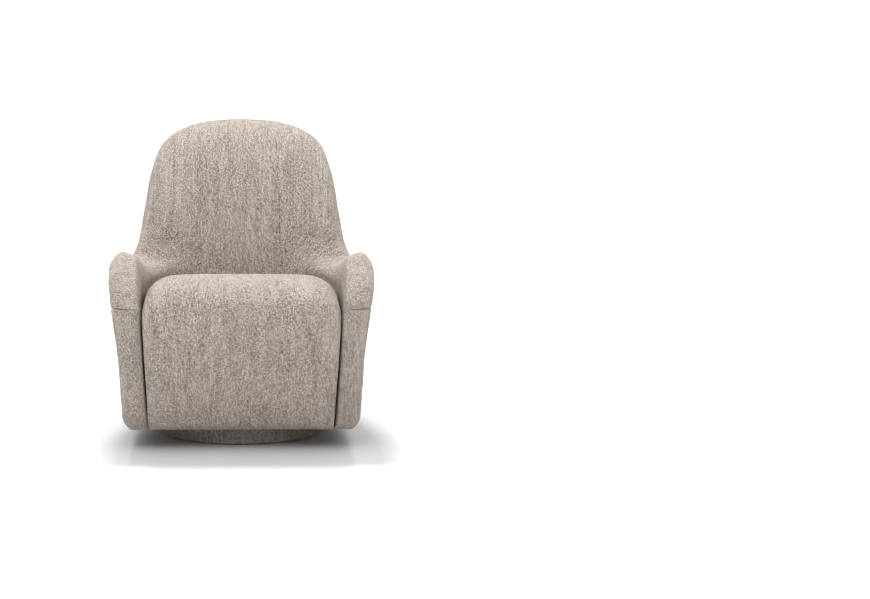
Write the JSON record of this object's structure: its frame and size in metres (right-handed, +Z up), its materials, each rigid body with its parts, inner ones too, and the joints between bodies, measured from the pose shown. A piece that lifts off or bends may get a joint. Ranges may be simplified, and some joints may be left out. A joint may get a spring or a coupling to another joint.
{
  "type": "swivel glider chair",
  "caption": "Fully upholstered tub chair with rolled arms and an arched back, gliding on hanging links above a round swivel plinth.",
  "frame": {"origin": "on the floor, on the swivel axis, in the plane of the foot ring", "axes": "+Z up, the chair faces -Y at rest, +X is the sitter's left"},
  "size_m": [0.7384, 0.897, 0.8511],
  "materials": {
    "boucle": "matte",
    "foam": "matte",
    "felt": "matte",
    "cambric": "matte",
    "hardwood": "matte",
    "plywood": "matte",
    "black_steel": "satin",
    "bright_steel": "satin",
    "nylon": "satin",
    "rubber": "matte"
  },
  "bodies": {
    "base": {"foot_ring": "rubber", "plinth_bottom_board": "plywood", "plinth_drum": "plywood", "plinth_top_board": "plywood", "plinth_foam_band": "foam", "plinth_cover": "boucle", "bearing_lower_ring": "bright_steel", "bearing_balls": "bright_steel", "ball_cage": "nylon", "bearing_screws": "black_steel"},
    "swivel": {"bearing_upper_ring": "bright_steel", "front_cross_tube": "black_steel", "rear_cross_tube": "black_steel", "left_hanger_bracket": "black_steel", "right_hanger_bracket": "black_steel", "upper_pivot_pins": "bright_steel", "pivot_washers": "bright_steel", "swivel_bolts": "bright_steel", "stop_bumpers": "rubber"},
    "front_links": {"left_front_link": "black_steel", "right_front_link": "black_steel", "front_link_bushes": "nylon"},
    "rear_links": {"left_rear_link": "black_steel", "right_rear_link": "black_steel", "rear_link_bushes": "nylon"},
    "chair": {"left_glide_rail": "black_steel", "right_glide_rail": "black_steel", "lower_pivot_pins": "bright_steel", "rail_bolts": "bright_steel", "left_mechanism_rail": "hardwood", "right_mechanism_rail": "hardwood", "lower_front_rail": "hardwood", "upper_front_rail": "hardwood", "front_panel": "plywood", "lower_rear_rail": "hardwood", "seat_rear_rail": "hardwood", "rear_base_rail": "plywood", "left_arm_panel": "plywood", "right_arm_panel": "plywood", "arm_rails": "hardwood", "left_back_post": "hardwood", "right_back_post": "hardwood", "lumbar_rail": "hardwood", "crown_board": "plywood", "back_ribs": "plywood", "seat_springs": "bright_steel", "spring_clips": "black_steel", "spring_felt": "felt", "back_webbing": "felt", "seat_foam": "foam", "left_arm_pad": "foam", "right_arm_pad": "foam", "back_pad": "foam", "seat_cover": "boucle", "inner_cover": "boucle", "left_arm_front_cover": "boucle", "right_arm_front_cover": "boucle", "outer_cover": "boucle", "hem_roll": "boucle", "dust_cover": "cambric"}
  },
  "joints": [
    {"name": "swivel_turn", "type": "hinge", "parent": "base", "child": "swivel", "pos_m": [0, 0, 0.053], "axis": [0, 0, 1], "continuous": true},
    {"name": "front_link_swing", "type": "hinge", "parent": "swivel", "child": "front_links", "pos_m": [0, -0.1, 0.215], "axis": [1, 0, 0], "range_deg": [-20, 20]},
    {"name": "rear_link_swing", "type": "hinge", "parent": "swivel", "child": "rear_links", "pos_m": [0, 0.1, 0.215], "axis": [1, 0, 0], "range_deg": [-20, 20]},
    {"name": "chair_glide", "type": "hinge", "parent": "front_links", "child": "chair", "pos_m": [0, -0.1, 0.095], "axis": [1, 0, 0], "range_deg": [-20, 20]}
  ],
  "couplings": [
    {"joint": "front_link_swing", "follows": "chair_glide", "ratio": -1},
    {"joint": "rear_link_swing", "follows": "chair_glide", "ratio": -1}
  ]
}
